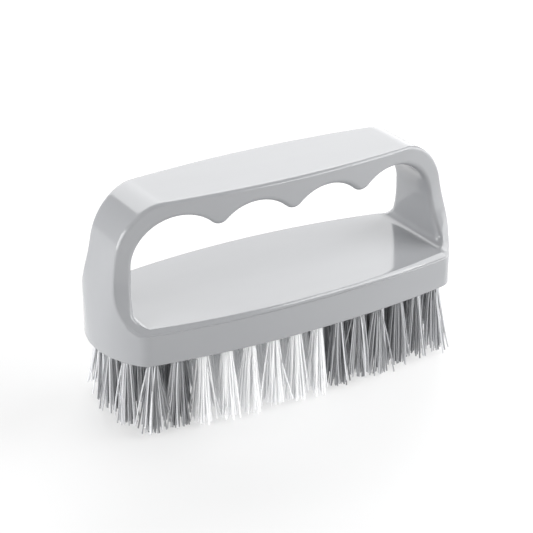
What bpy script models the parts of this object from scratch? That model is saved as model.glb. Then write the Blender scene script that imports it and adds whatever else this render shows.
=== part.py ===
# Nail brush: a one-piece moulded body, whose closed handle has four finger arches, and five
# rows of bristle tufts in blind holes. Each tuft is folded over a flat wire anchor.
# Metres, +Z up, +X along the handle, -Y the front. The bristle tips stand on z = 0.

import math
import random

import bmesh
import bpy
from mathutils import Vector

# Base block: a barrel in plan, whose long sides and ends are arcs
LENGTH = 0.100
BASE_WIDTH = 0.0395
SIDE_BOW = 0.0039
END_BOW = 0.0063
CORNER_RADIUS = 0.0046
WALL_HEIGHT = 0.0083
BOTTOM_ROUND = 0.0006

# Sloping rim between the wall and the platform
RIM_HEIGHT = 0.00105
RIM_DEPTH = 0.0005
RIM_DEPTH_AT_END = 0.0019
RIM_ROUND = 0.0004

# Handle loop, whose ends stand behind those of the base
HANDLE_HEIGHT = 0.0378
HANDLE_INSET = 0.0034
HANDLE_LENGTH = LENGTH - 2 * HANDLE_INSET
HANDLE_WIDTH = 0.0229
SHOULDER_RUN = 0.0123
SHOULDER_DROP = 0.0115
OUTER_ROUND = 0.0011
INNER_ROUND = 0.0007

# Feet of the legs, which spread to the base's full length and almost to its full width
FOOT_INSET = 0.0001
FOOT_SPREAD = (BASE_WIDTH - HANDLE_WIDTH) / 2 - FOOT_INSET
FOOT_MEETS_END = 0.0086
FOOT_CURVE = 1.8
FOOT_TURN_SHARE = 0.9

# Opening between the platform and the finger arches
ARCH_PITCH = 0.0201
ARCH_HEIGHT = 0.0336
ARCH_DEPTH = 0.0039
CUSP_RADIUS = 0.00265
OPENING_CORNER_DROP = 0.0121
LEG_TOP_THICKNESS = 0.0039
LEG_FOOT_THICKNESS = 0.0061
LEG_INSIDE_TOP = HANDLE_LENGTH / 2 - LEG_TOP_THICKNESS
LEG_INSIDE_FOOT = LENGTH / 2 - LEG_FOOT_THICKNESS
PLATFORM_FILLET = 0.0021

# Tuft rows
TUFT_COLUMNS = 14
TUFT_ROWS = 5
TUFT_INSET = 0.0029
END_TUFT_INSET = 0.005
BRISTLE_LENGTH = 0.019
HOLE_DIAMETER = 0.0034
HOLE_DEPTH = 0.0062
CLEARANCE = 0.0003
HOLE_SIDES = 8

# Root plug of a tuft, and the anchor that lies inside its fold
PLUG_SIDES = 6
PLUG_PROUD = 0.0004
FOLD_THICKNESS = 0.0008
ANCHOR_THICKNESS = 0.0005
ANCHOR_HEIGHT = 0.0018

# Backing slices that carry the inner rows
SLICE_WIDTH = 0.003
SLICE_THICKNESS = 0.002
SLICE_END_MARGIN = 0.0022

# Strands
STRANDS_PER_TUFT = 6
STRAND_SIDES = 3
STRAND_WIDTH = 0.0006
STRAND_RING_RADIUS = 0.0007
STRAND_SPLAY = 0.0015
STRAND_SPLAY_SPREAD = 0.00045
STRAND_SHORTFALL = 0.0012
STRAND_ROOT_SINK = 0.0005
SHORT_STRAND_SHARE = 0.4
STRAND_TURN_SHARE = 0.15
SEED = 11

# Colours and finishes
GREY_PLASTIC = (0.56, 0.57, 0.58)
GREY_STRAND = (0.36, 0.37, 0.38)
WHITE_STRAND = (0.86, 0.86, 0.85)
WIRE_STEEL = (0.62, 0.62, 0.60)
WHITE_BAND_FIRST = 3
WHITE_BAND_LAST = 8

# Faces along each stretch of the body and across it
PLATFORM_STEPS = 6
FOOT_LOW_STEPS = 4
FOOT_HIGH_STEPS = 4
LEG_STEPS = 3
SHOULDER_STEPS = 8
ARCH_STEPS = 5
CUSP_STEPS = 2
ACROSS_STEPS = 8
ROUND_STEPS = 3
WALL_STEPS = 1

# Rounds of the searches for the line where the leg meets the end wall
SETTLE_ROUNDS = 4
HALVING_ROUNDS = 40

CUT_OVERRUN = 0.001
MERGE_DIGITS = 8
SHARP_EDGE = math.radians(32)
UP = Vector((0, 0, 1))


def clear_scene():
    for thing in list(bpy.data.objects):
        bpy.data.objects.remove(thing, do_unlink=True)


def material(name, colour, roughness, metallic=0.0):
    made = bpy.data.materials.new(name)
    made.use_nodes = True
    shader = made.node_tree.nodes["Principled BSDF"]
    shader.inputs["Base Color"].default_value = (*colour, 1)
    shader.inputs["Roughness"].default_value = roughness
    shader.inputs["Metallic"].default_value = metallic
    return made


def add_object(name, bm, finish=None):
    # An object with no finish is a cutter
    mesh = bpy.data.meshes.new(name)
    bmesh.ops.recalc_face_normals(bm, faces=bm.faces)
    bm.to_mesh(mesh)
    bm.free()
    mesh.shade_smooth()
    mesh.set_sharp_from_angle(angle=SHARP_EDGE)
    made = bpy.data.objects.new(name, mesh)
    bpy.context.scene.collection.objects.link(made)
    if finish:
        mesh.materials.append(finish)
    else:
        made.hide_render = True
        made.display_type = "WIRE"
    return made


def boolean(target, cutter, operation):
    step = target.modifiers.new(cutter.name, "BOOLEAN")
    step.operation = operation
    step.solver = "EXACT"
    step.object = cutter


# Plan of the base

def arc_radius(half_chord, rise):
    return (half_chord ** 2 + rise ** 2) / (2 * rise)


def arc_crossing(first, first_radius, second, second_radius):
    # The crossing of two circles that lies on the +x, +y side
    apart = second - first
    reach = apart.length
    along = (reach ** 2 + first_radius ** 2 - second_radius ** 2) / (2 * reach)
    off = math.sqrt(max(first_radius ** 2 - along ** 2, 0))
    way = apart / reach
    return first + along * way + off * Vector((-way.y, way.x))


class Barrel:
    # Quarter of the base's outline, read by the angle of its normal: 0 at the end's middle
    # and a quarter turn at the side's middle
    def __init__(self):
        corner_x = LENGTH / 2 - END_BOW
        corner_y = BASE_WIDTH / 2 - SIDE_BOW
        self.side_radius = arc_radius(corner_x, SIDE_BOW)
        self.end_radius = arc_radius(corner_y, END_BOW)
        self.side_centre = Vector((0, BASE_WIDTH / 2 - self.side_radius))
        self.end_centre = Vector((LENGTH / 2 - self.end_radius, 0))
        self.corner_centre = arc_crossing(
            self.end_centre, self.end_radius - CORNER_RADIUS,
            self.side_centre, self.side_radius - CORNER_RADIUS)
        from_side = self.corner_centre - self.side_centre
        from_end = self.corner_centre - self.end_centre
        self.side_angle = math.atan2(from_side.y, from_side.x)
        self.end_angle = math.atan2(from_end.y, from_end.x)

    def at(self, angle):
        way = Vector((math.cos(angle), math.sin(angle)))
        if angle >= self.side_angle:
            return self.side_centre + self.side_radius * way
        if angle <= self.end_angle:
            return self.end_centre + self.end_radius * way
        return self.corner_centre + CORNER_RADIUS * way

    def side_y(self, x):
        return self.side_centre.y + math.sqrt(self.side_radius ** 2 - x ** 2)

    def angle_at_y(self, y):
        on_end = self.end_radius * math.sin(self.end_angle)
        if y <= on_end:
            return math.asin(y / self.end_radius)
        rise = (y - self.corner_centre.y) / CORNER_RADIUS
        return math.asin(min(rise, 1))

    def end_x(self, y):
        return self.at(self.angle_at_y(abs(y))).x


BARREL = Barrel()
HALF_HANDLE = HANDLE_LENGTH / 2
PLATFORM = WALL_HEIGHT + RIM_HEIGHT
SHOULDER_FOOT = HANDLE_HEIGHT - SHOULDER_DROP
FOOT_TURN = SHOULDER_FOOT - FOOT_TURN_SHARE * (SHOULDER_FOOT - WALL_HEIGHT)
LEG_LEAN = (LENGTH / 2 - HALF_HANDLE) / (SHOULDER_FOOT - FOOT_MEETS_END)


# Faces of the handle

def handle_bow_y(x):
    # The handle's faces bow as the sides of the base do
    return HANDLE_WIDTH / 2 - BASE_WIDTH / 2 + BARREL.side_y(x)


def foot_spread(z):
    fall = min(max((SHOULDER_FOOT - z) / (SHOULDER_FOOT - WALL_HEIGHT), 0), 1)
    return FOOT_SPREAD * (1 - (1 - fall ** FOOT_CURVE) ** (1 / FOOT_CURVE))


def handle_face_y(x, z):
    return handle_bow_y(x) + foot_spread(z)


def crease_height(x, y):
    # Where the spreading foot meets the wall of the base at this place in plan
    spread = min(max((y - handle_bow_y(x)) / FOOT_SPREAD, 0), 1)
    fall = (1 - (1 - spread) ** FOOT_CURVE) ** (1 / FOOT_CURVE)
    return SHOULDER_FOOT - fall * (SHOULDER_FOOT - WALL_HEIGHT)


def leg_outside_x(z):
    return HALF_HANDLE + LEG_LEAN * max(SHOULDER_FOOT - z, 0)


def end_surface_x(y, z):
    return min(leg_outside_x(z), BARREL.end_x(y))


def foot_crease(z):
    x = leg_outside_x(z)
    y = handle_face_y(min(x, LENGTH / 2), z)
    for _ in range(SETTLE_ROUNDS):
        x = end_surface_x(y, z)
        y = handle_face_y(x, z)
    return Vector((x, y, z))


# Outline of the opening

class Arches:
    def __init__(self):
        self.half_pitch = ARCH_PITCH / 2
        both = arc_radius(self.half_pitch, ARCH_DEPTH)
        self.radius = both - CUSP_RADIUS
        self.centre_z = ARCH_HEIGHT - self.radius
        self.cusp_z = ARCH_HEIGHT - ARCH_DEPTH + CUSP_RADIUS
        self.apex_x = 3 * self.half_pitch
        self.turn = math.asin(self.half_pitch / both)

    def half_arch(self, apex_x, towards):
        # From just past an apex down to the middle of the next cusp
        points = []
        for step in range(1, ARCH_STEPS + 1):
            angle = self.turn * step / ARCH_STEPS
            x = apex_x + towards * self.radius * math.sin(angle)
            points.append((x, self.centre_z + self.radius * math.cos(angle)))
        cusp_x = apex_x + towards * self.half_pitch
        for step in range(1, CUSP_STEPS + 1):
            angle = self.turn * (1 - step / CUSP_STEPS)
            x = cusp_x - towards * CUSP_RADIUS * math.sin(angle)
            points.append((x, self.cusp_z - CUSP_RADIUS * math.cos(angle)))
        return points

    def underside(self):
        # From the outer apex to the middle of the handle
        first = self.half_arch(self.apex_x, -1)
        back_up = self.half_arch(self.apex_x - 2 * self.half_pitch, 1)
        last = self.half_arch(self.apex_x - 2 * self.half_pitch, -1)
        risen = list(reversed(back_up[:-1]))
        apex = (self.apex_x - 2 * self.half_pitch, ARCH_HEIGHT)
        return first + risen + [apex] + last


ARCHES = Arches()


class Station:
    # One section of the body: an edge of the opening and the crease outside it, both on
    # the front half, as (x, y, z) with y their distance from the middle plane
    def __init__(self, inner, outer, inner_round, outer_round, on_wall, on_loop):
        self.inner = Vector(inner)
        self.outer = Vector(outer)
        self.inner_round = inner_round
        self.outer_round = outer_round
        self.on_wall = on_wall
        self.on_loop = on_loop


def blend(a, b, share):
    return a + (b - a) * share


def rim_y(x):
    share = (x / (LENGTH / 2)) ** 2
    return BARREL.side_y(x) - blend(RIM_DEPTH, RIM_DEPTH_AT_END, share)


def platform_stations():
    fillet_start = LEG_INSIDE_FOOT - PLATFORM_FILLET
    side_end = BARREL.at(BARREL.side_angle).x
    stations = []
    for step in range(PLATFORM_STEPS + 1):
        share = step / PLATFORM_STEPS
        x = fillet_start * share
        outer_x = side_end * share
        outer = (outer_x, BARREL.side_y(outer_x), WALL_HEIGHT)
        stations.append(Station((x, rim_y(x), PLATFORM), outer, RIM_ROUND, RIM_ROUND, True, False))
    return stations


def fillet_point(share):
    # Along the fillet between the platform and the leg
    angle = share * math.pi / 2
    x = LEG_INSIDE_FOOT - PLATFORM_FILLET * (1 - math.sin(angle))
    z = PLATFORM + PLATFORM_FILLET * (1 - math.cos(angle))
    return x, z


def foot_inner(share):
    x, z = fillet_point(share)
    y = blend(rim_y(x), handle_face_y(x, z), min(2 * share, 1))
    return x, y, z


def low_foot_stations():
    turn = foot_crease(FOOT_TURN)
    turn_angle = BARREL.angle_at_y(turn.y)
    stations = []
    for step in range(1, FOOT_LOW_STEPS + 1):
        share = step / FOOT_LOW_STEPS
        angle = blend(BARREL.side_angle, turn_angle, share)
        place = BARREL.at(angle)
        outer = (place.x, place.y, crease_height(place.x, place.y))
        rounded = blend(RIM_ROUND, INNER_ROUND, share)
        outer_round = blend(RIM_ROUND, OUTER_ROUND, share / 2)
        last = step == FOOT_LOW_STEPS
        stations.append(Station(foot_inner(share / 2), outer, rounded, outer_round, True, last))
    return stations


def leg_crease_foot():
    # Height at which the crease leaves the end wall for the leg
    low, high = FOOT_TURN, SHOULDER_FOOT
    for _ in range(HALVING_ROUNDS):
        z = (low + high) / 2
        x = leg_outside_x(z)
        if x > BARREL.end_x(handle_face_y(min(x, LENGTH / 2), z)):
            low = z
        else:
            high = z
    return high


def high_foot_stations():
    top = leg_crease_foot()
    stations = []
    for step in range(1, FOOT_HIGH_STEPS + 1):
        share = step / FOOT_HIGH_STEPS
        outer = foot_crease(blend(FOOT_TURN, top, share))
        outer_round = blend(RIM_ROUND, OUTER_ROUND, (1 + share) / 2)
        inner = foot_inner((1 + share) / 2)
        stations.append(Station(inner, outer, INNER_ROUND, outer_round, False, True))
    return stations


def leg_stations():
    foot = leg_crease_foot()
    inner_foot = PLATFORM + PLATFORM_FILLET
    inner_top = ARCH_HEIGHT - OPENING_CORNER_DROP
    stations = []
    for step in range(1, LEG_STEPS + 1):
        share = step / LEG_STEPS
        x = blend(LEG_INSIDE_FOOT, LEG_INSIDE_TOP, share)
        z = blend(inner_foot, inner_top, share)
        outer = foot_crease(blend(foot, SHOULDER_FOOT, share))
        stations.append(
            Station((x, handle_face_y(x, z), z), outer, INNER_ROUND, OUTER_ROUND, False, True))
    return stations


def shoulder_stations():
    # The outside leaves the leaning leg smoothly and ends level with the top
    lean = LEG_LEAN * SHOULDER_DROP
    stations = []
    for step in range(1, SHOULDER_STEPS + 1):
        angle = step / SHOULDER_STEPS * math.pi / 2
        inner_x = ARCHES.apex_x + (LEG_INSIDE_TOP - ARCHES.apex_x) * math.cos(angle)
        inner_z = ARCH_HEIGHT - OPENING_CORNER_DROP * (1 - math.sin(angle))
        x = HALF_HANDLE - (SHOULDER_RUN - lean) * (1 - math.cos(angle)) - lean * math.sin(angle)
        z = SHOULDER_FOOT + SHOULDER_DROP * math.sin(angle)
        inner = (inner_x, handle_face_y(inner_x, inner_z), inner_z)
        outer = (x, handle_face_y(x, z), z)
        stations.append(Station(inner, outer, INNER_ROUND, OUTER_ROUND, False, True))
    return stations


def bar_stations():
    flat_end = HALF_HANDLE - SHOULDER_RUN
    stations = []
    for x, z in ARCHES.underside():
        outer_x = flat_end * x / ARCHES.apex_x
        inner = (x, handle_face_y(x, z), z)
        outer = (outer_x, handle_face_y(outer_x, HANDLE_HEIGHT), HANDLE_HEIGHT)
        stations.append(Station(inner, outer, INNER_ROUND, OUTER_ROUND, False, True))
    return stations


# Mesh of the body

def fillet(corner, before, after, radius):
    # Arc inside a corner, from the side towards before to the side towards after
    a = (before - corner).normalized()
    b = (after - corner).normalized()
    half = a.angle(b) / 2
    reach = radius / math.tan(half)
    limit = min((before - corner).length, (after - corner).length) / 2
    reach = min(reach, limit)
    radius = reach * math.tan(half)
    centre = corner + (a + b).normalized() * radius / math.sin(half)
    start = corner + a * reach - centre
    end = corner + b * reach - centre
    turn = math.pi - 2 * half
    points = []
    for step in range(ROUND_STEPS + 1):
        share = step / ROUND_STEPS
        near = math.sin((1 - share) * turn) / math.sin(turn)
        far = math.sin(share * turn) / math.sin(turn)
        points.append(centre + near * start + far * end)
    return points


def front(point):
    return Vector((point.x, -point.y, point.z))


def ribbon_points(station):
    # From the inner surface over the face of the handle or rim to the outside
    inner = front(station.inner)
    outer = front(station.outer)
    middle = Vector((inner.x, 0, inner.z))
    down = Vector((outer.x, outer.y, 0))
    step_in = outer.y + min(OUTER_ROUND * 2, -outer.y)
    across = Vector((end_surface_x(step_in, outer.z), step_in, outer.z))
    if station.outer.z > SHOULDER_FOOT:
        across.x = outer.x
    outside = down if not station.on_loop else across
    if station.on_wall and station.on_loop:
        outside = (down - outer).normalized() + (across - outer).normalized() + outer
    points = fillet(inner, middle, outer, station.inner_round)
    points += fillet(outer, inner, outside, station.outer_round)
    return points


def straight_row(edge):
    points = []
    for step in range(ACROSS_STEPS + 1):
        y = blend(edge.y, -edge.y, step / ACROSS_STEPS)
        points.append(Vector((edge.x, y, edge.z)))
    return points


def loop_row(edge):
    # Across the outside of the leg or the top of the handle, from the front to the back
    row = straight_row(edge)
    if edge.z < SHOULDER_FOOT:
        for place in row[1:-1]:
            place.x = end_surface_x(place.y, place.z)
    return row


def outline_normal(place):
    # Of the front half of the outline
    if place.x <= BARREL.at(BARREL.side_angle).x:
        angle = math.acos(place.x / BARREL.side_radius)
    else:
        angle = BARREL.angle_at_y(abs(place.y))
    return Vector((math.cos(angle), math.copysign(math.sin(angle), place.y), 0))


def bottom_round(place):
    points = []
    for step in range(1, ROUND_STEPS + 1):
        angle = step / ROUND_STEPS * math.pi / 2
        inward = BOTTOM_ROUND * (1 - math.cos(angle))
        z = BOTTOM_ROUND * (1 - math.sin(angle))
        points.append(Vector((place.x, place.y, z)) - outline_normal(place) * inward)
    return points


def wall_line(edge):
    # Down the wall from below the rim and round its bottom edge
    points = []
    for step in range(1, WALL_STEPS + 1):
        points.append(Vector((edge.x, edge.y, blend(edge.z, BOTTOM_ROUND, step / WALL_STEPS))))
    return points + bottom_round(edge)


def mirror_y(point):
    return Vector((point.x, -point.y, point.z))


class Skin:
    # Faces of the body, whose corners are joined where they lie in one place
    def __init__(self):
        self.bm = bmesh.new()
        self.corners = {}

    def vertex(self, point):
        key = tuple(round(value, MERGE_DIGITS) + 0.0 for value in point)
        if key not in self.corners:
            self.corners[key] = self.bm.verts.new(point + UP * BRISTLE_LENGTH)
        return self.corners[key]

    def face(self, points):
        ring = []
        for point in points:
            vertex = self.vertex(point)
            if vertex not in ring:
                ring.append(vertex)
        if len(ring) > 2:
            self.bm.faces.new(ring)

    def grid(self, rows):
        for first, second in zip(rows, rows[1:]):
            for k in range(len(first) - 1):
                self.face((first[k], first[k + 1], second[k + 1], second[k]))

    def both_ends(self, rows):
        self.grid(rows)
        self.grid([[Vector((-p.x, p.y, p.z)) for p in row] for row in rows])

    def all_quarters(self, rows):
        self.both_ends(rows)
        self.both_ends([[mirror_y(p) for p in row] for row in rows])


def end_wall_rows(line):
    # Rows across the end of the base, down its wall and round its bottom edge
    rows = []
    for level, edge in enumerate(line):
        row = straight_row(Vector((line[0].x, line[0].y, edge.z)))
        turned = level - len(line) + ROUND_STEPS
        for place in row[1:-1]:
            place.x = BARREL.end_x(place.y)
            if turned >= 0:
                place.xyz = bottom_round(place)[turned]
        row[0] = edge
        row[-1] = mirror_y(edge)
        rows.append(row)
    return rows


def body_skin():
    stations = platform_stations() + low_foot_stations() + high_foot_stations()
    stations += leg_stations() + shoulder_stations() + bar_stations()
    ribbons = [ribbon_points(station) for station in stations]
    walls = []
    loops = []
    for station, ribbon in zip(stations, ribbons):
        edge = ribbon[-1]
        if station.on_wall:
            walls.append([edge] + wall_line(edge))
        if station.on_loop:
            loops.append(loop_row(edge))
    skin = Skin()
    skin.all_quarters(ribbons)
    skin.all_quarters(walls)
    skin.both_ends([straight_row(ribbon[0]) for ribbon in ribbons])
    skin.both_ends(loops)
    underside = [straight_row(line[-1]) for line in walls]
    skin.both_ends(underside)
    end_rows = [loops[0]] + end_wall_rows(walls[-1][1:]) + [underside[-1]]
    skin.both_ends(end_rows)
    return skin.bm


# Tuft places, holes and slots, from the underside

def tuft_place(row, column):
    across = 2 * row / (TUFT_ROWS - 1) - 1
    along = 2 * column / (TUFT_COLUMNS - 1) - 1
    corner_y = BASE_WIDTH / 2 - SIDE_BOW - TUFT_INSET
    reach = BARREL.end_x(corner_y * across) - END_TUFT_INSET
    x = along * reach
    y = across * (BARREL.side_y(x) - TUFT_INSET)
    return Vector((x, y, 0))


def outer_rows():
    return {"front": 0, "back": TUFT_ROWS - 1}


def prism(bm, place, radius, sides, low, high):
    rings = []
    for z in (low, high):
        ring = []
        for side in range(sides):
            angle = side / sides * math.tau
            arm = Vector((math.cos(angle), math.sin(angle), 0)) * radius
            ring.append(bm.verts.new(place + arm + UP * (z + BRISTLE_LENGTH)))
        rings.append(ring)
    bm.faces.new(list(reversed(rings[0])))
    bm.faces.new(rings[1])
    for side in range(sides):
        after = (side + 1) % sides
        bm.faces.new((rings[0][side], rings[0][after], rings[1][after], rings[1][side]))


def block(bm, centre, size):
    made = bmesh.ops.create_cube(bm, size=1)
    for vertex in made["verts"]:
        vertex.co = centre + Vector(a * b for a, b in zip(vertex.co, size))


def backing_strip(bm, row, margin, width, low, high):
    # A strip that runs under every tuft of a row and past its ends
    line = [tuft_place(row, column) for column in range(TUFT_COLUMNS)]
    line[0] = line[0] - Vector((margin, 0, 0))
    line[-1] = line[-1] + Vector((margin, 0, 0))
    rings = []
    for point in line:
        ring = []
        for side, z in ((-1, low), (1, low), (1, high), (-1, high)):
            corner = Vector((point.x, point.y + side * width / 2, z + BRISTLE_LENGTH))
            ring.append(bm.verts.new(corner))
        rings.append(ring)
    for first, second in zip(rings, rings[1:]):
        for k in range(4):
            after = (k + 1) % 4
            bm.faces.new((first[k], first[after], second[after], second[k]))
    bm.faces.new(rings[0])
    bm.faces.new(rings[-1])


def holes_cutter():
    bm = bmesh.new()
    for row in outer_rows().values():
        for column in range(TUFT_COLUMNS):
            place = tuft_place(row, column)
            prism(bm, place, HOLE_DIAMETER / 2, HOLE_SIDES, -CUT_OVERRUN, HOLE_DEPTH)
    for row in range(1, TUFT_ROWS - 1):
        width = SLICE_WIDTH + 2 * CLEARANCE
        margin = SLICE_END_MARGIN + CLEARANCE
        backing_strip(bm, row, margin, width, -CUT_OVERRUN, SLICE_THICKNESS + CLEARANCE)
    return add_object("holes_cutter", bm)


def add_body(finish):
    body = add_object("brush_body", body_skin(), finish)
    boolean(body, holes_cutter(), "DIFFERENCE")


# Tufts

def strand(bm, place, angle, rng):
    out = Vector((math.cos(angle), math.sin(angle), 0))
    side = Vector((-out.y, out.x, 0))
    splay = STRAND_SPLAY + rng.uniform(-1, 1) * STRAND_SPLAY_SPREAD
    turn = rng.uniform(-1, 1) * STRAND_TURN_SHARE
    short = STRAND_SHORTFALL * rng.random() if rng.random() < SHORT_STRAND_SHARE else 0
    root_z = BRISTLE_LENGTH - PLUG_PROUD + STRAND_ROOT_SINK
    root = place + out * STRAND_RING_RADIUS
    tip = root + (out + side * turn) * splay
    radius = STRAND_WIDTH / math.sqrt(3)
    facing = angle + rng.random() * math.tau / STRAND_SIDES
    rings = []
    for centre, z in ((root, root_z), (tip, short)):
        ring = []
        for k in range(STRAND_SIDES):
            around = facing + k / STRAND_SIDES * math.tau
            arm = Vector((math.cos(around), math.sin(around), 0)) * radius
            ring.append(bm.verts.new(centre + arm + UP * z))
        rings.append(ring)
    bm.faces.new(rings[0])
    bm.faces.new(list(reversed(rings[1])))
    for k in range(STRAND_SIDES):
        after = (k + 1) % STRAND_SIDES
        bm.faces.new((rings[1][k], rings[1][after], rings[0][after], rings[0][k]))


def strands_cutter(name, places, rng):
    bm = bmesh.new()
    for place in places:
        first = rng.random() * math.tau
        for k in range(STRANDS_PER_TUFT):
            strand(bm, place, first + k / STRANDS_PER_TUFT * math.tau, rng)
    return add_object(name, bm)


def plug_radius():
    # Clears the flats of the hole all round
    return HOLE_DIAMETER / 2 * math.cos(math.pi / HOLE_SIDES) - CLEARANCE


def anchor_middle():
    return HOLE_DEPTH - CLEARANCE - FOLD_THICKNESS - CLEARANCE - ANCHOR_HEIGHT / 2


def add_tuft(name, place, finish, rng):
    bm = bmesh.new()
    prism(bm, place, plug_radius(), PLUG_SIDES, -PLUG_PROUD, HOLE_DEPTH - CLEARANCE)
    tuft = add_object(name, bm, finish)
    eye = bmesh.new()
    centre = place + UP * (BRISTLE_LENGTH + anchor_middle())
    width = 2 * (plug_radius() + CUT_OVERRUN)
    height = ANCHOR_HEIGHT + 2 * CLEARANCE
    block(eye, centre, (width, ANCHOR_THICKNESS + 2 * CLEARANCE, height))
    boolean(tuft, add_object(name + "_eye_cutter", eye), "DIFFERENCE")
    boolean(tuft, strands_cutter(name + "_strands_cutter", [place], rng), "UNION")


def add_anchor(name, place, finish):
    bm = bmesh.new()
    centre = place + UP * (BRISTLE_LENGTH + anchor_middle())
    block(bm, centre, (2 * plug_radius(), ANCHOR_THICKNESS, ANCHOR_HEIGHT))
    add_object(name, bm, finish)


def add_inner_row(row, finish, rng):
    name = "inner_tuft_row_%d" % row
    bm = bmesh.new()
    backing_strip(bm, row, SLICE_END_MARGIN, SLICE_WIDTH, -PLUG_PROUD, SLICE_THICKNESS)
    made = add_object(name, bm, finish)
    places = [tuft_place(row, column) for column in range(TUFT_COLUMNS)]
    boolean(made, strands_cutter(name + "_strands_cutter", places, rng), "UNION")


def main():
    clear_scene()
    rng = random.Random(SEED)
    add_body(material("grey_plastic", GREY_PLASTIC, 0.2))
    grey = material("grey_strands", GREY_STRAND, 0.45)
    white = material("white_strands", WHITE_STRAND, 0.4)
    steel = material("anchor_steel", WIRE_STEEL, 0.35, 1.0)
    for side, row in outer_rows().items():
        for column in range(TUFT_COLUMNS):
            in_band = WHITE_BAND_FIRST <= column + 1 <= WHITE_BAND_LAST
            place = tuft_place(row, column)
            number = "%02d" % (column + 1)
            add_tuft(side + "_tuft_" + number, place, white if in_band else grey, rng)
            add_anchor(side + "_anchor_" + number, place, steel)
    for row in range(1, TUFT_ROWS - 1):
        add_inner_row(row, grey, rng)


main()
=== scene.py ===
import math
import random

import bmesh
import bpy
from mathutils import Matrix, Vector


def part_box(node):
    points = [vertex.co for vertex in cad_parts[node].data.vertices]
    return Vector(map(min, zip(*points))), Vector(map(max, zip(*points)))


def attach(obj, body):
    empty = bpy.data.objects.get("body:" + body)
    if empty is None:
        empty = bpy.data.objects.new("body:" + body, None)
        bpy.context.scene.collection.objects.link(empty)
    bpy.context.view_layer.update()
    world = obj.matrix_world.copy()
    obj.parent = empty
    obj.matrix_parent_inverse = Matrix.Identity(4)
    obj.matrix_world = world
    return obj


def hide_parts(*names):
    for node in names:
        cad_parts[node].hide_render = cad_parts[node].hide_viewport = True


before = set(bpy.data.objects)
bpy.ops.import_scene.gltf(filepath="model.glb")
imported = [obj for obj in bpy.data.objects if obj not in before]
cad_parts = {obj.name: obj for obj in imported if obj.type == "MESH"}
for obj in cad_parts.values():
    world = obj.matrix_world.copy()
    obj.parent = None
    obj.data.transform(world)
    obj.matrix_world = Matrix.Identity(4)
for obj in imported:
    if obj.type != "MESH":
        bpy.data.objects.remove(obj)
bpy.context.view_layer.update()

bodyLow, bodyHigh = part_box("brush_body")
up = Vector((0, 0, 1))
nearlyZero = 0.0001
print("frame loaded:", len(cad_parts), "nodes")


# Shader maths: an expression on values adds its own Math nodes

class Value:
    def __init__(self, shader, socket):
        self.shader = shader
        self.socket = socket

    def maths(self, operation, first, second):
        node = self.shader.node("ShaderNodeMath", {"operation": operation}, [first, second])
        return Value(self.shader, node.outputs[0])

    def __add__(self, other):
        return self.maths("ADD", self, other)

    def __sub__(self, other):
        return self.maths("SUBTRACT", self, other)

    def __rsub__(self, other):
        return self.maths("SUBTRACT", other, self)

    def __mul__(self, other):
        return self.maths("MULTIPLY", self, other)

    __radd__ = __add__
    __rmul__ = __mul__


class Finish:
    # One material, whose Principled shader takes fixed values and node sockets alike
    def __init__(self, name, settings):
        self.material = bpy.data.materials.new(name)
        self.material.use_nodes = True
        self.tree = self.material.node_tree
        self.shader = self.tree.nodes["Principled BSDF"]
        for socket, value in settings.items():
            self.fill(self.shader.inputs[socket], value)

    def fill(self, socket, value):
        if isinstance(value, Value):
            self.tree.links.new(value.socket, socket)
        elif isinstance(value, bpy.types.NodeSocket):
            self.tree.links.new(value, socket)
        elif isinstance(value, tuple) and len(value) == 3 and socket.type == "RGBA":
            socket.default_value = (*value, 1)
        else:
            socket.default_value = value

    def node(self, kind, settings=None, values=()):
        made = self.tree.nodes.new(kind)
        for name, value in (settings or {}).items():
            setattr(made, name, value)
        pairs = values.items() if isinstance(values, dict) else enumerate(values)
        for key, value in pairs:
            self.fill(made.inputs[key], value)
        return made

    def place(self):
        return self.node("ShaderNodeTexCoord").outputs["Object"]

    def along(self, axis):
        parts = self.node("ShaderNodeSeparateXYZ", {}, {"Vector": self.place()})
        return Value(self, parts.outputs[axis])

    def noise(self, scale, detail=2.0, stretch=(1, 1, 1)):
        # Object-space noise from 0 to 1, whose scale is in waves per metre
        mapped = self.node("ShaderNodeMapping", {}, {"Vector": self.place(), "Scale": stretch})
        made = self.node("ShaderNodeTexNoise", {}, {
            "Vector": mapped.outputs[0], "Scale": scale, "Detail": detail})
        return Value(self, made.outputs[0])

    def mix(self, share, first, second):
        # Sockets 6 and 7 are the two colours of a Mix node, and 2 is its colour result
        made = self.node("ShaderNodeMix", {"data_type": "RGBA"}, {
            "Factor": share, 6: first, 7: second})
        return made.outputs[2]

    def attribute(self, name):
        made = self.node("ShaderNodeAttribute", {"attribute_name": name})
        return Value(self, made.outputs["Fac"])

    def bump(self, height, distance, strength=1.0):
        made = self.node("ShaderNodeBump", {}, {
            "Height": height, "Distance": distance, "Strength": strength})
        return made.outputs[0]

    def use(self, socket, value):
        self.fill(self.shader.inputs[socket], value)


# Meshes

def newPiece(name, mesh, finish):
    mesh.materials.append(finish)
    mesh.shade_smooth()
    piece = bpy.data.objects.new(name, mesh)
    bpy.context.scene.collection.objects.link(piece)
    return piece


def blend(a, b, share):
    return a + (b - a) * share


def spread(count):
    # Shares from 0 to 1
    return [step / count for step in range(count + 1)]


# Body: the same design as the solid's, with fine steps and soft creases

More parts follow.
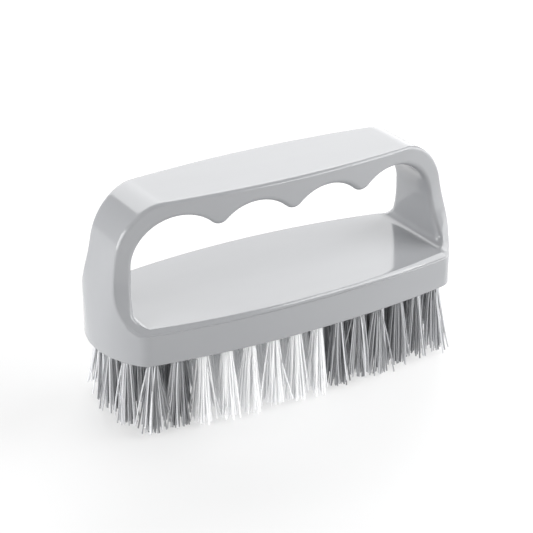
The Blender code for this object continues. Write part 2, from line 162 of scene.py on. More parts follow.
# Sizes in metres, here and below
brushBody = {
    "length": bodyHigh.x - bodyLow.x,
    "width": bodyHigh.y - bodyLow.y,
    "handleHeight": bodyHigh.z - bodyLow.z,
    "sideBow": 0.0039, "endBow": 0.0063, "cornerRadius": 0.0046,
    "wallHeight": 0.0083, "bottomRound": 0.0006,
    "rimHeight": 0.00105, "rimDepth": 0.0005, "rimDepthAtEnd": 0.0019, "rimRound": 0.0002,
    "rimCrown": 0.00006, "creaseWidth": 0.0006, "creaseGroove": 0.00018,
    "handleInset": 0.0034, "handleWidth": 0.0229,
    "shoulderRun": 0.0123, "shoulderDrop": 0.0115,
    "outerRound": 0.001, "innerRound": 0.0014,
    "footInset": 0.0001, "footMeetsEnd": 0.0086, "footCurve": 1.8, "footTurnShare": 0.9,
    "endCreaseSoftness": 0.0012,
    "archPitch": 0.0201, "archHeight": 0.0336, "archDepth": 0.0039, "cuspRadius": 0.00265,
    "openingCornerDrop": 0.0121, "legTopThickness": 0.0039, "legFootThickness": 0.0061,
    "platformFillet": 0.0022, "sharpAngle": 50,
}
# How finely each stretch of the body is stepped, and how often a search is repeated
bodySteps = {
    "platform": 44, "lowFoot": 18, "highFoot": 18, "leg": 16, "shoulder": 28,
    "arch": 12, "cusp": 6, "across": 28, "round": 6, "wall": 10,
    "creasePasses": 12, "footHalvings": 40,
}
ribbonShares = (0.06, 0.18, 0.34, 0.5, 0.66, 0.82, 0.94)  # places between the two rounds
cornerRoom = 0.48  # the most of a face that the round at one of its edges may take
halfLength = brushBody["length"] / 2
halfWidth = brushBody["width"] / 2
halfHandle = halfLength - brushBody["handleInset"]
wallTop = brushBody["wallHeight"]
platformTop = wallTop + brushBody["rimHeight"]
shoulderFoot = brushBody["handleHeight"] - brushBody["shoulderDrop"]
footSpreadWidth = halfWidth - brushBody["handleWidth"] / 2 - brushBody["footInset"]
legInsideTop = halfHandle - brushBody["legTopThickness"]
legInsideFoot = halfLength - brushBody["legFootThickness"]
outerApex = brushBody["archPitch"] * 3 / 2
footTurn = blend(shoulderFoot, wallTop, brushBody["footTurnShare"])


def arcRadius(halfChord, rise):
    return (halfChord ** 2 + rise ** 2) / (2 * rise)


class BlockPlan:
    # A quarter of the block's outline, read by the angle of its normal: zero at the middle
    # of the end and a quarter turn at the middle of the side
    def __init__(self):
        cornerX = halfLength - brushBody["endBow"]
        cornerY = halfWidth - brushBody["sideBow"]
        corner = brushBody["cornerRadius"]
        self.sideRadius = arcRadius(cornerX, brushBody["sideBow"])
        self.endRadius = arcRadius(cornerY, brushBody["endBow"])
        self.sideCentre = Vector((0, halfWidth - self.sideRadius))
        self.endCentre = Vector((halfLength - self.endRadius, 0))
        self.cornerCentre = self.crossing(self.endRadius - corner, self.sideRadius - corner)
        self.sideAngle = self.angleFrom(self.sideCentre, self.cornerCentre)
        self.endAngle = self.angleFrom(self.endCentre, self.cornerCentre)

    def crossing(self, endReach, sideReach):
        apart = self.sideCentre - self.endCentre
        along = (apart.length_squared + endReach ** 2 - sideReach ** 2) / (2 * apart.length)
        off = math.sqrt(endReach ** 2 - along ** 2)
        way = apart.normalized()
        return self.endCentre + along * way + off * Vector((-way.y, way.x))

    def angleFrom(self, centre, point):
        return math.atan2(point.y - centre.y, point.x - centre.x)

    def at(self, angle):
        way = Vector((math.cos(angle), math.sin(angle)))
        if angle >= self.sideAngle:
            return self.sideCentre + self.sideRadius * way
        if angle <= self.endAngle:
            return self.endCentre + self.endRadius * way
        return self.cornerCentre + brushBody["cornerRadius"] * way

    def sideY(self, x):
        return self.sideCentre.y + math.sqrt(self.sideRadius ** 2 - x ** 2)

    def angleAtY(self, y):
        if y <= self.endRadius * math.sin(self.endAngle):
            return math.asin(y / self.endRadius)
        return math.asin(min((y - self.cornerCentre.y) / brushBody["cornerRadius"], 1))

    def endX(self, y):
        return self.at(self.angleAtY(abs(y))).x

    def nearestAngle(self, point):
        fromSide = self.angleFrom(self.sideCentre, point)
        if fromSide >= self.sideAngle:
            return fromSide
        fromEnd = self.angleFrom(self.endCentre, point)
        if fromEnd <= self.endAngle:
            return fromEnd
        return self.angleFrom(self.cornerCentre, point)


plan = BlockPlan()
flatEnd = plan.at(plan.sideAngle).x


def handleBowY(x):
    return brushBody["handleWidth"] / 2 - halfWidth + plan.sideY(x)


def footSpread(z):
    fall = min(max((shoulderFoot - z) / (shoulderFoot - wallTop), 0), 1)
    curve = brushBody["footCurve"]
    return footSpreadWidth * (1 - (1 - fall ** curve) ** (1 / curve))


def faceY(x, z):
    return handleBowY(x) + footSpread(z)


def creaseHeight(x, y):
    # Where the spreading foot meets the wall of the block
    share = min(max((y - handleBowY(x)) / footSpreadWidth, 0), 1)
    curve = brushBody["footCurve"]
    fall = (1 - (1 - share) ** curve) ** (1 / curve)
    return shoulderFoot - fall * (shoulderFoot - wallTop)


def legLean():
    # How far the straight outside of the leg moves out for each unit down
    return brushBody["handleInset"] / (shoulderFoot - brushBody["footMeetsEnd"])


def legOutsideX(z):
    return halfHandle + legLean() * max(shoulderFoot - z, 0)


def endSurfaceX(y, z):
    # The leaning leg runs softly into the upright end wall
    leg = legOutsideX(z)
    wall = plan.endX(y)
    soft = brushBody["endCreaseSoftness"]
    near = max(soft - abs(leg - wall), 0) / soft
    return min(leg, wall) - near ** 2 * soft / 4


def endSurfaceNormal(y, z):
    step = 0.00005
    alongY = (endSurfaceX(y + step, z) - endSurfaceX(y - step, z)) / (2 * step)
    alongZ = (endSurfaceX(y, z + step) - endSurfaceX(y, z - step)) / (2 * step)
    return Vector((1, -alongY, -alongZ)).normalized()


def footCrease(z):
    # Where the face of the handle meets its end, found by going from one to the other
    x = legOutsideX(z)
    y = faceY(min(x, halfLength), z)
    for _ in range(bodySteps["creasePasses"]):
        x = endSurfaceX(y, z)
        y = faceY(x, z)
    return Vector((x, y, z))


def rimY(x):
    share = (x / halfLength) ** 2
    return plan.sideY(x) - blend(brushBody["rimDepth"], brushBody["rimDepthAtEnd"], share)


def halfArch(apexX, towards):
    # From just past an apex of the finger arches down to the middle of the next cusp
    halfPitch = brushBody["archPitch"] / 2
    cuspRadius = brushBody["cuspRadius"]
    both = arcRadius(halfPitch, brushBody["archDepth"])
    radius = both - cuspRadius
    centreZ = brushBody["archHeight"] - radius
    cuspZ = brushBody["archHeight"] - brushBody["archDepth"] + cuspRadius
    turn = math.asin(halfPitch / both)
    points = []
    for share in spread(bodySteps["arch"])[1:]:
        angle = turn * share
        x = apexX + towards * radius * math.sin(angle)
        points.append((x, centreZ + radius * math.cos(angle)))
    for share in spread(bodySteps["cusp"])[1:]:
        angle = turn * (1 - share)
        x = apexX + towards * (halfPitch - cuspRadius * math.sin(angle))
        points.append((x, cuspZ - cuspRadius * math.cos(angle)))
    return points


def handleUnderside():
    # From the outer apex to the cusp in the middle of the handle
    halfPitch = brushBody["archPitch"] / 2
    risen = list(reversed(halfArch(halfPitch, 1)[:-1]))
    apex = (halfPitch, brushBody["archHeight"])
    return halfArch(outerApex, -1) + risen + [apex] + halfArch(halfPitch, -1)


class Station:
    # One section of the moulding at the front right: an edge of the opening and the crease
    # outside it, with y as a distance from the middle plane
    def __init__(self, inner, outer, normal, rounds, onWall=False, onLoop=True):
        self.inner = Vector(inner)
        self.outer = Vector(outer)
        self.normal = Vector(normal)
        self.rounds = rounds
        self.onWall = onWall
        self.onLoop = onLoop


def platformStations():
    filletStart = legInsideFoot - brushBody["platformFillet"]
    rounds = (brushBody["rimRound"], brushBody["creaseWidth"])
    stations = []
    for share in spread(bodySteps["platform"]):
        x = filletStart * share
        outerX = flatEnd * share
        angle = math.acos(outerX / plan.sideRadius)
        outer = (outerX, plan.sideY(outerX), wallTop)
        normal = (math.cos(angle), math.sin(angle), 0)
        stations.append(Station((x, rimY(x), platformTop), outer, normal, rounds, True, False))
    return stations


def footInner(share):
    # Round the fillet between the platform and the leg
    fillet = brushBody["platformFillet"]
    angle = share * math.pi / 2
    x = legInsideFoot - fillet * (1 - math.sin(angle))
    z = platformTop + fillet * (1 - math.cos(angle))
    return x, blend(rimY(x), faceY(x, z), smooth(min(2 * share, 1))), z


def smooth(share):
    return share * share * (3 - 2 * share)


def footRounds(share):
    inner = blend(brushBody["rimRound"], brushBody["innerRound"], smooth(share))
    return inner, blend(brushBody["creaseWidth"], brushBody["outerRound"], smooth(share))


def lowFootStations():
    turnAngle = plan.angleAtY(footCrease(footTurn).y)
    stations = []
    for share in spread(bodySteps["lowFoot"])[1:]:
        angle = blend(plan.sideAngle, turnAngle, share)
        place = plan.at(angle)
        outer = (place.x, place.y, creaseHeight(place.x, place.y))
        normal = (math.cos(angle), math.sin(angle), 0)
        rounds = footRounds(share / 2)
        stations.append(Station(footInner(share / 2), outer, normal, rounds, True, share == 1))
    return stations


def legCreaseFoot():
    # Height at which the crease leaves the end wall for the leg
    low, high = footTurn, shoulderFoot
    for _ in range(bodySteps["footHalvings"]):
        z = (low + high) / 2
        x = legOutsideX(z)
        if x > plan.endX(faceY(min(x, halfLength), z)):
            low = z
        else:
            high = z
    return high


def highFootStations():
    top = legCreaseFoot()
    stations = []
    for share in spread(bodySteps["highFoot"])[1:]:
        outer = footCrease(blend(footTurn, top, share))
        normal = endSurfaceNormal(outer.y, outer.z)
        inner = footInner((1 + share) / 2)
        stations.append(Station(inner, outer, normal, footRounds((1 + share) / 2)))
    return stations


def legStations():
    foot = legCreaseFoot()
    innerFoot = platformTop + brushBody["platformFillet"]
    innerTop = brushBody["archHeight"] - brushBody["openingCornerDrop"]
    stations = []
    for share in spread(bodySteps["leg"])[1:]:
        x = blend(legInsideFoot, legInsideTop, share)
        z = blend(innerFoot, innerTop, share)
        outer = footCrease(blend(foot, shoulderFoot, share))
        normal = endSurfaceNormal(outer.y, outer.z)
        stations.append(Station((x, faceY(x, z), z), outer, normal, footRounds(1)))
    return stations


def shoulderStations():
    # The outside leaves the leaning leg smoothly and ends level with the top
    run = brushBody["shoulderRun"]
    lean = legLean() * brushBody["shoulderDrop"]
    stations = []
    for share in spread(bodySteps["shoulder"])[1:]:
        angle = share * math.pi / 2
        innerX = outerApex + (legInsideTop - outerApex) * math.cos(angle)
        innerZ = brushBody["archHeight"] - brushBody["openingCornerDrop"] * (1 - math.sin(angle))
        across, drop = math.cos(angle), math.sin(angle)
        x = halfHandle - (run - lean) * (1 - across) - lean * drop
        z = shoulderFoot + brushBody["shoulderDrop"] * drop
        rise = (run - lean) * drop + lean * across
        normal = Vector((brushBody["shoulderDrop"] * across, 0, rise)).normalized()
        inner = (innerX, faceY(innerX, innerZ), innerZ)
        stations.append(Station(inner, (x, faceY(x, z), z), normal, footRounds(1)))
    return stations


def barStations():
    barEnd = halfHandle - brushBody["shoulderRun"]
    top = brushBody["handleHeight"]
    stations = []
    for x, z in handleUnderside():
        outerX = barEnd * x / outerApex
        outer = (outerX, faceY(outerX, top), top)
        stations.append(Station((x, faceY(x, z), z), outer, up, footRounds(1)))
    return stations


def roundedCorner(corner, before, after, radius, room):
    # An arc inside a corner, between the directions before and after
    a, b = before.normalized(), after.normalized()
    half = a.angle(b) / 2
    reach = min(radius / math.tan(half), room)
    radius = reach * math.tan(half)
    centre = corner + (a + b).normalized() * radius / math.sin(half)
    start, end = corner + a * reach - centre, corner + b * reach - centre
    turn = math.pi - 2 * half
    points = []
    for share in spread(bodySteps["round"]):
        near = math.sin((1 - share) * turn) / math.sin(turn)
        far = math.sin(share * turn) / math.sin(turn)
        points.append(centre + near * start + far * end)
    return points


def ribbonLine(stations, k):
    # Across the face of the handle or rim, from the opening's wall to the outside
    station = stations[k]
    before, after = stations[max(k - 1, 0)], stations[min(k + 1, len(stations) - 1)]
    along = after.outer - before.outer
    outside = along.cross(station.normal).normalized()
    face = station.outer - station.inner
    if (outside.z if station.onWall else outside.y) > 0:
        outside.negate()
    room = face.length * cornerRoom
    inwards = Vector((0, -1, 0))
    points = roundedCorner(station.inner, inwards, face, station.rounds[0], room)
    last = roundedCorner(station.outer, -face, outside, station.rounds[1], room)
    outwards = Vector((0, 0, 0))
    if station.onWall:
        outwards = (up + station.normal).normalized()
        sink(last, outwards)
    for share in ribbonShares:
        crown = outwards * brushBody["rimCrown"] * 4 * share * (1 - share)
        points.append(blend(points[bodySteps["round"]], last[0], share) + crown)
    if station.onWall or station.outer.z < shoulderFoot:
        settle(last, station)
    return points + last


def sink(line, outwards):
    # The fine groove where the rim meets the wall
    for share, point in zip(spread(bodySteps["round"]), line):
        point -= outwards * brushBody["creaseGroove"] * math.sin(math.pi * share)


def settle(line, station):
    # Keeps the outer end of a section on the surface that it runs into
    end = line[-1]
    if station.onWall:
        end.xy = plan.at(plan.nearestAngle(end))
    else:
        end.x = endSurfaceX(end.y, end.z)


def acrossRow(edge):
    # From one side of the body straight over to the other
    shares = spread(bodySteps["across"])
    return [Vector((edge.x, blend(edge.y, -edge.y, share), edge.z)) for share in shares]


def loopRow(edge):
    # Over the outside of the leg or the top of the handle
    row = acrossRow(edge)
    if edge.z < shoulderFoot:
        for place in row[1:-1]:
            place.x = endSurfaceX(place.y, place.z)
    return row


def wallNormal(place):
    angle = plan.nearestAngle(Vector((place.x, abs(place.y))))
    return Vector((math.cos(angle), math.copysign(math.sin(angle), place.y), 0))


def bottomRound(place):
    points = []
    for share in spread(bodySteps["round"])[1:]:
        angle = share * math.pi / 2
        inward = brushBody["bottomRound"] * (1 - math.cos(angle))
        z = brushBody["bottomRound"] * (1 - math.sin(angle))
        points.append(Vector((place.x, place.y, z)) - wallNormal(place) * inward)
    return points


def wallLine(edge):
    points = [edge]
    for share in spread(bodySteps["wall"])[1:]:
        points.append(Vector((edge.x, edge.y, blend(edge.z, brushBody["bottomRound"], share))))
    return points + bottomRound(edge)


def mirrorY(point):
    return Vector((point.x, -point.y, point.z))


def mirrorX(point):
    return Vector((-point.x, point.y, point.z))


class Skin:
    # Faces whose corners are joined where they lie in one place
    digits = 8

    def __init__(self):
        self.bm = bmesh.new()
        self.corners = {}

    def vertex(self, point):
        # Adding zero makes a minus zero a plain one
        key = tuple(round(value, self.digits) + 0.0 for value in point)
        if key not in self.corners:
            self.corners[key] = self.bm.verts.new(point + up * bodyLow.z)
        return self.corners[key]

    def face(self, points):
        ring = []
        for point in points:
            vertex = self.vertex(point)
            if vertex not in ring:
                ring.append(vertex)
        if len(ring) > 2:
            self.bm.faces.new(ring)

    def grid(self, rows):
        for first, second in zip(rows, rows[1:]):
            for k in range(len(first) - 1):
                self.face((first[k], first[k + 1], second[k + 1], second[k]))

    def bothEnds(self, rows):
        self.grid(rows)
        self.grid([[mirrorX(p) for p in row] for row in rows])

    def allQuarters(self, rows):
        self.bothEnds(rows)
        self.bothEnds([[mirrorY(p) for p in row] for row in rows])


def endWallRows(line):
    # Across the end of the block, down its wall and round its bottom edge
    rows = []
    for level, edge in enumerate(line):
        row = acrossRow(Vector((line[0].x, line[0].y, edge.z)))
        turned = level - len(line) + bodySteps["round"]
        for place in row[1:-1]:
            place.x = endSurfaceX(place.y, place.z)
            if turned >= 0:
                place.xyz = bottomRound(Vector((plan.endX(place.y), place.y, 0)))[turned]
        row[0] = edge
        row[-1] = mirrorY(edge)
        rows.append(row)
    return rows


def bodySkin():
    stations = platformStations() + lowFootStations() + highFootStations()
    stations += legStations() + shoulderStations() + barStations()
    ribbons = [ribbonLine(stations, k) for k in range(len(stations))]
    walls, loops = [], []
    for station, ribbon in zip(stations, ribbons):
        if station.onWall:
            walls.append(wallLine(ribbon[-1]))
        if station.onLoop:
            loops.append(loopRow(ribbon[-1]))
    skin = Skin()
    skin.allQuarters(ribbons)
    skin.allQuarters(walls)
    skin.bothEnds([acrossRow(ribbon[0]) for ribbon in ribbons])
    skin.bothEnds(loops)
    skin.bothEnds([[line[-1], mirrorY(line[-1])] for line in walls])
    endRows = [loops[0]] + endWallRows(walls[-1][1:])
    skin.bothEnds(endRows)
    # The bowed ends of the flat underside
    skin.face(endRows[-1])
    skin.face([mirrorX(p) for p in endRows[-1]])
    return skin.bm


# Tufts: their places are those of the solids

tuft = {
    "columns": 14, "rows": 5, "inset": 0.0029, "endInset": 0.005,
    "whiteFirst": 3, "innerWhiteFirst": 4, "whiteLast": 8,  # columns, from the left
    "holeWidth": 0.0034, "holeDepth": 0.0062, "holeSides": 32,
    "filaments": 24, "filamentWidth": 0.00039, "sides": 5, "sharpAngle": 60,
    "mouthRadius": 0.0013, "mouthJitter": 0.00005, "spiralStart": 0.3,
    "fan": 2.4, "fanSpread": 0.4,  # how many times wider the tips stand than the roots
    "jitter": 0.0007, "bow": 0.0003,
    "lean": 0.0005, "endLean": 0.0006, "endLeanCurve": 5, "sideLean": 0.0004,
    "strayShare": 0.1, "strayReach": 0.0042, "leastStray": 0.4,
    "trim": 0.0011, "shortShare": 0.4, "shortfall": 0.0018, "shortfallCurve": 1.6,
    "clearOfFloor": 0.0001, "foldRise": 0.35,
    "legSteps": 7, "foldSteps": 5, "seed": 7,
}
anchor = {"thickness": 0.0005, "height": 0.0018, "foldRoom": 0.0014}
goldenAngle = math.pi * (3 - math.sqrt(5))


def gridShares(row, column):
    # From -1 at the left end to 1 at the right, and from -1 at the front to 1 at the back
    along = 2 * column / (tuft["columns"] - 1) - 1
    across = 2 * row / (tuft["rows"] - 1) - 1
    return along, across


def tuftPlace(row, column):
    along, across = gridShares(row, column)
    cornerY = halfWidth - brushBody["sideBow"] - tuft["inset"]
    x = along * (plan.endX(cornerY * across) - tuft["endInset"])
    return Vector((x, across * (plan.sideY(x) - tuft["inset"]), 0))


def anchorMiddle():
    return bodyLow.z + tuft["holeDepth"] - anchor["foldRoom"] - anchor["height"] / 2


def drillHoles(piece):
    # The boolean needs the holes in one cutter, which goes away again
    bm = bmesh.new()
    depth = tuft["holeDepth"]
    overrun = 0.001
    for row in range(tuft["rows"]):
        for column in range(tuft["columns"]):
            middle = tuftPlace(row, column) + up * (bodyLow.z + (depth - overrun) / 2)
            bmesh.ops.create_cone(
                bm, cap_ends=True, segments=tuft["holeSides"], radius1=tuft["holeWidth"] / 2,
                radius2=tuft["holeWidth"] / 2, depth=depth + overrun,
                matrix=Matrix.Translation(middle))
    mesh = bpy.data.meshes.new("tuftHoles")
    bm.to_mesh(mesh)
    bm.free()
    cutter = bpy.data.objects.new("tuftHoles", mesh)
    bpy.context.scene.collection.objects.link(cutter)
    step = piece.modifiers.new("tuftHoles", "BOOLEAN")
    step.operation = "DIFFERENCE"
    step.solver = "EXACT"
    step.object = cutter
    applyModifiers(piece)
    bpy.data.objects.remove(cutter)


def applyModifiers(piece):
    bpy.context.view_layer.update()
    shown = piece.evaluated_get(bpy.context.evaluated_depsgraph_get())
    mesh = bpy.data.meshes.new_from_object(shown)
    piece.modifiers.clear()
    piece.data = mesh


def makeBody(finish):
    bm = bodySkin()
    bmesh.ops.recalc_face_normals(bm, faces=bm.faces)
    mesh = bpy.data.meshes.new("brushBody")
    bm.to_mesh(mesh)
    bm.free()
    piece = newPiece("brushBody", mesh, finish)
    drillHoles(piece)
    piece.data.set_sharp_from_angle(angle=math.radians(brushBody["sharpAngle"]))
    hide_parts("brush_body")
    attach(piece, "root")
    print("body made:", len(piece.data.polygons), "faces")


# A filament runs from one tip up into the hole, over the anchor and down to its other tip

def mouthSpots(count, rng):
    # Evenly over the half of the hole on one side of the anchor
    spots = []
    k = 0
    while len(spots) < count:
        radius = tuft["mouthRadius"] * math.sqrt((k + 0.5) / (2 * count + 2))
        angle = k * goldenAngle + tuft["spiralStart"]
        if math.sin(angle) >= 0:
            x = (radius + rng.uniform(-1, 1) * tuft["mouthJitter"]) * math.cos(angle)
            spots.append(Vector((x, radius * math.sin(angle), 0)))
        k += 1
    return spots


def sideways(rng):
    return Vector((rng.uniform(-1, 1), rng.uniform(-1, 1), 0))


def leanOf(row, column, rng):
    # Tufts near an end or a side of the block lean outwards, and each one a little by itself
    along, across = gridShares(row, column)
    endwards = tuft["endLean"] * along ** tuft["endLeanCurve"]
    return sideways(rng) * tuft["lean"] + Vector((endwards, tuft["sideLean"] * across, 0))


def tipSpot(spot, rng, lean, trim):
    fan = tuft["fan"] + rng.uniform(-1, 1) * tuft["fanSpread"]
    tip = spot * fan + lean + sideways(rng) * tuft["jitter"]
    if rng.random() < tuft["strayShare"]:
        angle = rng.random() * math.tau
        stray = tuft["strayReach"] * rng.uniform(tuft["leastStray"], 1)
        tip += Vector((math.cos(angle), math.sin(angle), 0)) * stray
    # A strand that leans ends higher, and some are cut shorter
    reach = (tip - spot).length
    tip.z = bodyLow.z - math.sqrt(bodyLow.z ** 2 - reach ** 2) + trim + tuft["clearOfFloor"]
    if rng.random() < tuft["shortShare"]:
        tip.z += tuft["shortfall"] * rng.random() ** tuft["shortfallCurve"]
    return tip


def strandLeg(spot, tip, rng):
    # From the tip up to the mouth of the hole and on to the anchor
    bow = sideways(rng) * tuft["bow"]
    mouth = spot + up * bodyLow.z
    points = []
    for share in spread(tuft["legSteps"]):
        points.append(blend(tip, mouth, share) + bow * math.sin(math.pi * share))
    inside = spot.copy()
    clear = anchor["thickness"] / 2 + tuft["filamentWidth"] / 2
    inside.y = math.copysign(max(abs(spot.y), clear), spot.y)
    inside.z = anchorMiddle()
    points.append(inside)
    return points


def filamentPath(place, spots, rng, lean, trim):
    front, back = spots
    near = strandLeg(front, tipSpot(front, rng, lean, trim), rng)
    far = strandLeg(back, tipSpot(back, rng, lean, trim), rng)
    top = anchorMiddle() + anchor["height"] / 2
    fold = []
    for share in spread(tuft["foldSteps"]):
        angle = share * math.pi
        middle = blend(near[-1], far[-1], (1 - math.cos(angle)) / 2)
        rise = tuft["filamentWidth"] / 2 + tuft["foldRise"] * abs(near[-1].y)
        middle.z = top + rise * math.sin(angle)
        fold.append(middle)
    return [place + point for point in near + fold + list(reversed(far))]


class StrandMesh:
    # Round strands, each with its own tone and its own strip of the UV map
    def __init__(self, strips):
        self.bm = bmesh.new()
        self.tones = self.bm.verts.layers.float.new("strandTone")
        self.bakeMap = self.bm.loops.layers.uv.new("OFBake")
        self.strips = strips
        self.strip = 0

    def ring(self, point, ahead, side, tone):
        radius = tuft["filamentWidth"] / 2
        other = ahead.cross(side)
        ring = []
        for share in spread(tuft["sides"])[:-1]:
            angle = share * math.tau
            arm = side * math.cos(angle) + other * math.sin(angle)
            vertex = self.bm.verts.new(point + arm * radius)
            vertex[self.tones] = tone
            ring.append(vertex)
        return ring

    def face(self, vertices, mapCorners):
        face = self.bm.faces.new(vertices)
        for loop, (across, along) in zip(face.loops, mapCorners):
            loop[self.bakeMap].uv = ((self.strip + across) / self.strips, along)

    def sweep(self, path, tone):
        side = Vector((1, 0, 0))
        rings = []
        for k, point in enumerate(path):
            ahead = (path[min(k + 1, len(path) - 1)] - path[max(k - 1, 0)]).normalized()
            side = (side - ahead * ahead.dot(side)).normalized()
            rings.append(self.ring(point, ahead, side, tone))
        sides = tuft["sides"]
        for k, (first, second) in enumerate(zip(rings, rings[1:])):
            low, high = k / (len(rings) - 1), (k + 1) / (len(rings) - 1)
            for s in range(sides):
                after = (s + 1) % sides
                left, right = s / sides, (s + 1) / sides
                self.face(
                    (first[s], first[after], second[after], second[s]),
                    ((left, low), (right, low), (right, high), (left, high)))
        for ring, along in ((list(reversed(rings[0])), 0), (rings[-1], 1)):
            self.face(ring, [(0.5, along)] * sides)
        self.strip += 1


def tuftIsWhite(row, column):
    first = tuft["innerWhiteFirst" if 0 < row < tuft["rows"] - 1 else "whiteFirst"]
    return first <= column + 1 <= tuft["whiteLast"]


def tuftNames(row, column):
    # The piece's own name, and that of the node which it stands for
    number = "%02d" % (column + 1)
    if row == 0:
        return "frontTuft" + number, "front_tuft_" + number
    if row == tuft["rows"] - 1:
        return "backTuft" + number, "back_tuft_" + number
    return "innerTuft%d_%s" % (row, number), "inner_tuft_row_%d" % row


def makeTuft(row, column, finishes, rng):
    place = tuftPlace(row, column)
    lean = leanOf(row, column, rng)
    trim = tuft["trim"] * rng.random()
    fronts = [mirrorY(spot) for spot in mouthSpots(tuft["filaments"], rng)]
    backs = mouthSpots(tuft["filaments"], rng)
    strands = StrandMesh(tuft["filaments"])
    for spots in zip(fronts, backs):
        path = filamentPath(place, spots, rng, lean, trim)
        strands.sweep(path, rng.random())
    pieceName, nodeName = tuftNames(row, column)
    mesh = bpy.data.meshes.new(pieceName)
    strands.bm.to_mesh(mesh)
    strands.bm.free()
    slotName = "white_strands" if tuftIsWhite(row, column) else "grey_strands"
    piece = newPiece(pieceName, mesh, finishes[slotName])
    mesh.set_sharp_from_angle(angle=math.radians(tuft["sharpAngle"]))
    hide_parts(nodeName)
    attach(piece, "root")
    return len(mesh.polygons)


def makeTufts(finishes):
    rng = random.Random(tuft["seed"])
    faces = 0
    for row in range(tuft["rows"]):
        for column in range(tuft["columns"]):
            faces += makeTuft(row, column, finishes, rng)
    print("tufts made:", tuft["rows"] * tuft["columns"], "with", faces, "faces")


# Finishes

plasticLook = {
    "colour": (0.362, 0.368, 0.38), "deepColour": (0.32, 0.326, 0.339), "refraction": 1.5,
    "flowScale": 60, "flowStretch": (0.35, 1, 1), "flowDetail": 3,
    "roughness": 0.10, "roughnessSpread": 0.05, "wearScale": 900, "wearDetail": 3,
    "waveScale": 140, "waveHeight": 0.00003, "waveStrength": 0.35,
}
# Each look's last value is the strength of a painted glow, an emission that brightens the
# strands although they are no lamp
strandLook = {
    "grey_strands": {
        "colour": (0.86, 0.869, 0.888), "darker": (0.2, 0.205, 0.216),
        "glow": 0.3, "paintedGlow": 0.0},
    "white_strands": {
        "colour": (0.962, 0.972, 0.985), "darker": (0.908, 0.92, 0.938),
        "glow": 1.0, "paintedGlow": 0.033},
}
nylonLook = {"refraction": 1.5, "roughness": 0.27, "glowReach": 0.0002}
steelLook = {
    "colour": (0.62, 0.62, 0.60), "roughness": 0.32, "roughnessSpread": 0.15,
    "grainScale": 4000, "grainDetail": 2, "grainStretch": (0.1, 1, 1),
}


def greyPlastic():
    look = plasticLook
    made = Finish("greyPlastic", {"IOR": look["refraction"]})
    flow = made.noise(look["flowScale"], look["flowDetail"], look["flowStretch"])
    made.use("Base Color", made.mix(flow, look["deepColour"], look["colour"]))
    wear = made.noise(look["wearScale"], look["wearDetail"])
    made.use("Roughness", wear * look["roughnessSpread"] + look["roughness"])
    wave = made.noise(look["waveScale"])
    made.use("Normal", made.bump(wave, look["waveHeight"], look["waveStrength"]))
    return made.material


def strandPlastic(name):
    # Light passes through nylon, so it also glows inside, and the pale strands also get a
    # painted glow:
    # an emission that brightens them as light carried up to their roots would
    look = strandLook[name]
    made = Finish(name, {
        "IOR": nylonLook["refraction"], "Roughness": nylonLook["roughness"],
        "Subsurface Weight": look["glow"], "Subsurface Scale": nylonLook["glowReach"],
        "Subsurface Radius": (1, 1, 1),
        "Emission Color": look["colour"], "Emission Strength": look["paintedGlow"]})
    tone = made.attribute("strandTone")
    made.use("Base Color", made.mix(tone, look["darker"], look["colour"]))
    return made.material


def anchorSteel():
    look = steelLook
    made = Finish("anchorSteel", {"Base Color": look["colour"], "Metallic": 1.0})
    grain = made.noise(look["grainScale"], look["grainDetail"], look["grainStretch"])
    made.use("Roughness", grain * look["roughnessSpread"] + look["roughness"])
    return made.material


def dressAnchors(steel):
    # The anchors stay the solids, so only their material is new
    anchors = [node for name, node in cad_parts.items() if "_anchor_" in name]
    for node in anchors:
        node.material_slots[0].material = steel
    print("anchors finished:", len(anchors))


# Camera, floor and lights

lens = {
    "azimuth": -30.93, "elevation": 25.30, "distance": 0.44005,
    "focalPixels": 1748, "framePixels": 533, "sensorWidth": 36,  # sensor in millimetres
    "aim": (-0.00138, 0, 0.00996), "nearest": 0.01,
}
# The floor is a pale light table, a little brighter to the right, so the shadow under the
# strands stays soft
floorLook = {
    "colour": (0.3, 0.3, 0.3), "roughness": 0.6, "radius": 6, "sides": 96,
    "glow": 0.6, "leftGlow": (0.88, 0.88, 0.88), "rightGlow": (1.18, 1.18, 1.18),
    "glowFrom": -0.07, "glowTo": 0.09,
}
# Each lamp's place and its size are angles seen from the brush, in degrees
studio = {
    "worldShade": 0.2,
    "lampDistance": 1.2,
    "lamps": {
        "rearLow": {"azimuth": 164, "elevation": 13, "wide": 66, "high": 26, "radiance": 2.2},
        "rearHigh": {"azimuth": 164, "elevation": 39, "wide": 55, "high": 26, "radiance": 3.2},
        "leftLow": {"azimuth": 262, "elevation": 13, "wide": 64, "high": 26, "radiance": 6.2},
        "leftHigh": {"azimuth": 222, "elevation": 50, "wide": 36, "high": 26, "radiance": 0.8},
        "leftFront": {"azimuth": 318, "elevation": 32, "wide": 44, "high": 32, "radiance": 0.3},
        "frontLow": {"azimuth": 5, "elevation": 14, "wide": 36, "high": 28, "radiance": 0.1},
        "frontRight": {"azimuth": 42, "elevation": 28, "wide": 30, "high": 18, "radiance": 8.0},
        "rightLow": {"azimuth": 78, "elevation": 13, "wide": 44, "high": 26, "radiance": 3.8},
        "rightHigh": {"azimuth": 80, "elevation": 40, "wide": 42, "high": 24, "radiance": 5.4},
    },
}


def fromAngles(azimuth, elevation):
    # Azimuth 0 is straight in front, and positive turns to the right
    a, e = math.radians(azimuth), math.radians(elevation)
    return Vector((math.sin(a) * math.cos(e), -math.cos(a) * math.cos(e), math.sin(e)))


def facing(place, target):
    back = (place - target).normalized()
    right = up.cross(back)
    # For a lamp straight overhead, any direction will do
    right = right.normalized() if right.length > nearlyZero else Vector((1, 0, 0))
    matrix = Matrix((right, back.cross(right), back)).transposed().to_4x4()
    matrix.translation = place
    return matrix


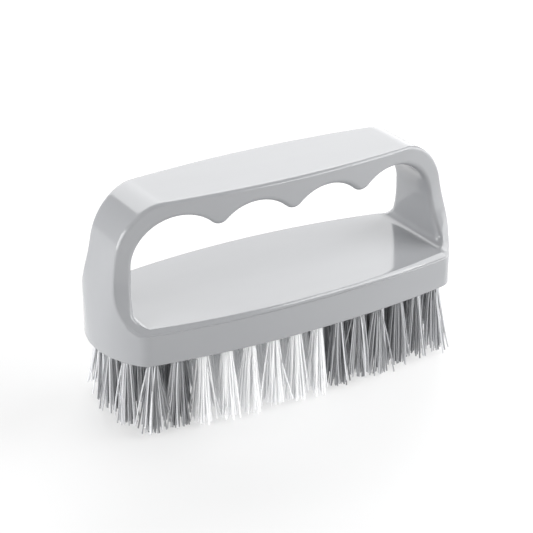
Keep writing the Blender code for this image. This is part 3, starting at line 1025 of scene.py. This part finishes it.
def makeCamera():
    aim = Vector(lens["aim"]) + up * bodyLow.z
    view = bpy.data.cameras.new("photoCamera")
    view.sensor_width = lens["sensorWidth"]
    view.lens = lens["focalPixels"] / lens["framePixels"] * lens["sensorWidth"]
    view.clip_start = lens["nearest"]
    camera = bpy.data.objects.new("photoCamera", view)
    bpy.context.scene.collection.objects.link(camera)
    away = fromAngles(lens["azimuth"], lens["elevation"]) * lens["distance"]
    camera.matrix_world = facing(aim + away, aim)
    bpy.context.scene.camera = camera


def makeFloor():
    bm = bmesh.new()
    bmesh.ops.create_circle(
        bm, cap_ends=True, segments=floorLook["sides"], radius=floorLook["radius"])
    mesh = bpy.data.meshes.new("floor")
    bm.to_mesh(mesh)
    bm.free()
    paint = Finish("floorPaint", {
        "Base Color": floorLook["colour"], "Roughness": floorLook["roughness"],
        "Emission Strength": floorLook["glow"]})
    reach = floorLook["glowTo"] - floorLook["glowFrom"]
    share = (paint.along("X") - floorLook["glowFrom"]) * (1 / reach)
    paint.use("Emission Color", paint.mix(share, floorLook["leftGlow"], floorLook["rightGlow"]))
    mesh.materials.append(paint.material)
    floor = bpy.data.objects.new("floor", mesh)
    bpy.context.scene.collection.objects.link(floor)


def makeLights():
    target = up * (bodyLow.z + brushBody["handleHeight"] / 2)
    for name, lamp in studio["lamps"].items():
        light = bpy.data.lights.new(name, "AREA")
        light.shape = "RECTANGLE"
        light.size = 2 * studio["lampDistance"] * math.tan(math.radians(lamp["wide"] / 2))
        light.size_y = 2 * studio["lampDistance"] * math.tan(math.radians(lamp["high"] / 2))
        # A lamp as bright as its radiance says gives off this power
        light.energy = lamp["radiance"] * math.pi * light.size * light.size_y
        holder = bpy.data.objects.new(name, light)
        bpy.context.scene.collection.objects.link(holder)
        away = fromAngles(lamp["azimuth"], lamp["elevation"]) * studio["lampDistance"]
        holder.matrix_world = facing(target + away, target)
        holder.visible_camera = False
    world = bpy.data.worlds.new("studioAir")
    world.use_nodes = True
    shade = studio["worldShade"]
    world.node_tree.nodes["Background"].inputs["Color"].default_value = (shade, shade, shade, 1)
    bpy.context.scene.world = world
    bpy.context.scene.view_settings.view_transform = "Standard"


makeBody(greyPlastic())
makeTufts({name: strandPlastic(name) for name in strandLook})
dressAnchors(anchorSteel())
makeCamera()
makeFloor()
makeLights()
print("studio made")
